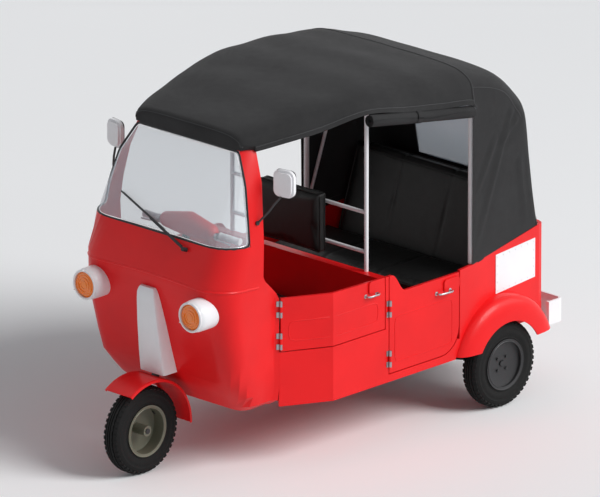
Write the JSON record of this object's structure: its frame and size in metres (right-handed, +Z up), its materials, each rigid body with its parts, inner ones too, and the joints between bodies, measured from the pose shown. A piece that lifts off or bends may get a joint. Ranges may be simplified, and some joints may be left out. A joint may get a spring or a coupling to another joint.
{
  "type": "motor rickshaw",
  "caption": "Three-wheeled motor rickshaw with a soft hood, half-doors, an open cabin for a driver and passengers, and handlebar steering.",
  "frame": {"origin": "on the ground, under the middle of the vehicle's bounding box", "axes": "+X to the vehicle's left, -Y to its front, +Z up"},
  "size_m": [1.324, 2.778, 1.882],
  "materials": {
    "red_paint": "gloss",
    "white_paint": "gloss",
    "black_steel": "satin",
    "bare_steel": "satin",
    "engine_alloy": "cast",
    "clear_glass": "clear",
    "clear_sheet": "clear flexible sheet",
    "hood_cloth": "woven, coated",
    "seat_cover": "grained",
    "orange_lens": "gloss",
    "red_lens": "gloss",
    "black_plastic": "matte",
    "grip_rubber": "ribbed",
    "tyre_rubber": "treaded",
    "olive_rim": "satin"
  },
  "bodies": {
    "body": {"chassis_frame": "black_steel", "floor_pan": "red_paint", "front_shell": "red_paint", "windscreen": "clear_glass", "nose_cover": "white_paint", "side_panels": "red_paint", "door_hinges": "bare_steel", "bulkhead": "red_paint", "quarter_panels": "red_paint", "wheel_housings": "red_paint", "rear_wall": "red_paint", "seat_platform": "red_paint", "engine_block": "engine_alloy", "silencer": "bare_steel", "rear_bumper": "white_paint", "partition_frame": "white_paint", "rear_posts": "white_paint", "hood_bows": "black_steel", "hood": "hood_cloth", "side_curtains": "hood_cloth", "rear_window": "clear_sheet", "driver_seat_base": "red_paint", "driver_cushion": "seat_cover", "driver_backrest": "seat_cover", "passenger_cushion": "seat_cover", "passenger_backrest": "seat_cover", "lamp_pods": "white_paint", "lamp_lenses": "orange_lens", "mirror_heads": "white_paint", "mirror_stalks": "black_steel", "wiper": "black_plastic", "quarter_plates": "white_paint", "tail_lamps": "red_lens", "swing_arms": "black_steel", "rear_springs": "bare_steel"},
    "steering": {"steering_fork": "black_steel", "front_mudguard": "red_paint", "handlebar": "bare_steel", "handlebar_grips": "grip_rubber", "steering_cowl": "red_paint"},
    "front_wheel": {"front_tyre": "tyre_rubber", "front_rim": "olive_rim"},
    "rear_wheel_left": {"rear_tyre_left": "tyre_rubber", "rear_rim_left": "black_steel"},
    "rear_wheel_right": {"rear_tyre_right": "tyre_rubber", "rear_rim_right": "black_steel"},
    "driver_door_left": {"driver_door_left": "red_paint"},
    "driver_door_right": {"driver_door_right": "red_paint"},
    "passenger_door_left": {"passenger_door_left": "red_paint"},
    "passenger_door_right": {"passenger_door_right": "red_paint"},
    "lid": {"engine_lid": "red_paint"}
  },
  "joints": [
    {"name": "steering_turn", "type": "hinge", "parent": "body", "child": "steering", "pos_m": [0, -0.816, 1.215], "axis": [0, 0.309, 0.9511], "range_deg": [-35, 35]},
    {"name": "front_wheel_spin", "type": "hinge", "parent": "steering", "child": "front_wheel", "pos_m": [0, -1.161, 0.228], "axis": [1, 0, 0], "continuous": true},
    {"name": "rear_wheel_left_spin", "type": "hinge", "parent": "body", "child": "rear_wheel_left", "pos_m": [0.58, 0.839, 0.228], "axis": [1, 0, 0], "continuous": true},
    {"name": "rear_wheel_right_spin", "type": "hinge", "parent": "body", "child": "rear_wheel_right", "pos_m": [-0.58, 0.839, 0.228], "axis": [1, 0, 0], "continuous": true},
    {"name": "driver_door_left_hinge", "type": "hinge", "parent": "body", "child": "driver_door_left", "pos_m": [0.48928, -0.65287, 0.765], "axis": [0, 0, -1], "range_deg": [0, 70]},
    {"name": "driver_door_right_hinge", "type": "hinge", "parent": "body", "child": "driver_door_right", "pos_m": [-0.48928, -0.65287, 0.765], "axis": [0, 0, 1], "range_deg": [0, 70]},
    {"name": "passenger_door_left_hinge", "type": "hinge", "parent": "body", "child": "passenger_door_left", "pos_m": [0.619, 0.004, 0.59], "axis": [0, 0, -1], "range_deg": [0, 70]},
    {"name": "passenger_door_right_hinge", "type": "hinge", "parent": "body", "child": "passenger_door_right", "pos_m": [-0.619, 0.004, 0.59], "axis": [0, 0, 1], "range_deg": [0, 70]},
    {"name": "engine_lid_hinge", "type": "hinge", "parent": "body", "child": "lid", "pos_m": [0, 1.258, 0.723], "axis": [1, 0, 0], "range_deg": [0, 60]}
  ]
}
